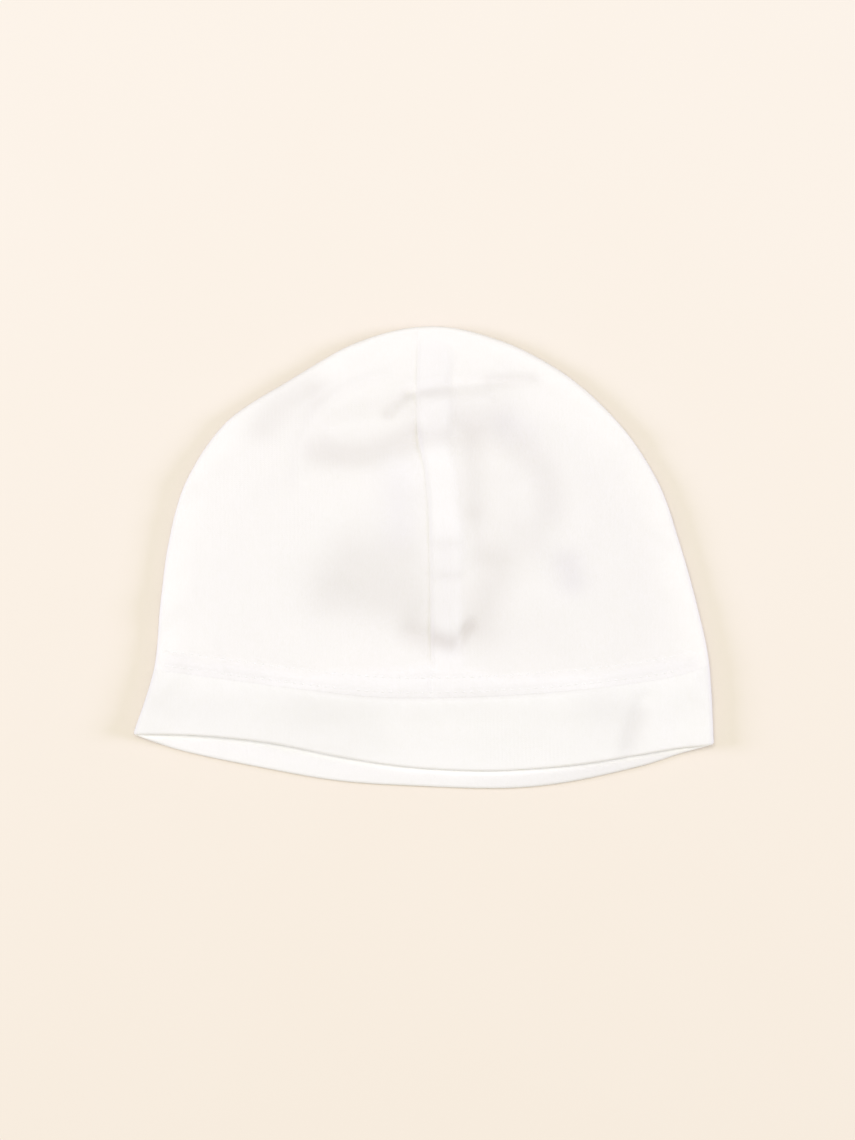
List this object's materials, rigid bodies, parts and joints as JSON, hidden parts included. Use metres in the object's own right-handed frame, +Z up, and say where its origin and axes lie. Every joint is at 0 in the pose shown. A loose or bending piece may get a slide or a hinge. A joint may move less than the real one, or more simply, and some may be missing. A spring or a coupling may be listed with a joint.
{
  "type": "baby nightcap",
  "caption": "Newborn's nightcap of white cotton jersey, lying flat on its back: two crown panels with a centre seam, and a folded band round an open mouth.",
  "frame": {"origin": "on the surface that the cap lies on, under the middle of its box", "axes": "+Z up from the surface, +Y from the mouth to the top of the crown, +X to the right seen from above"},
  "size_m": [0.1737, 0.1386, 0.0151],
  "materials": {
    "crown_jersey": "soft matt white cotton jersey, fine knit, slightly creased",
    "band_jersey": "matt white cotton jersey folded double, with a rounded hem"
  },
  "bodies": {
    "root": {"crown_left": "crown_jersey", "crown_right": "crown_jersey", "band": "band_jersey"}
  },
  "joints": []
}
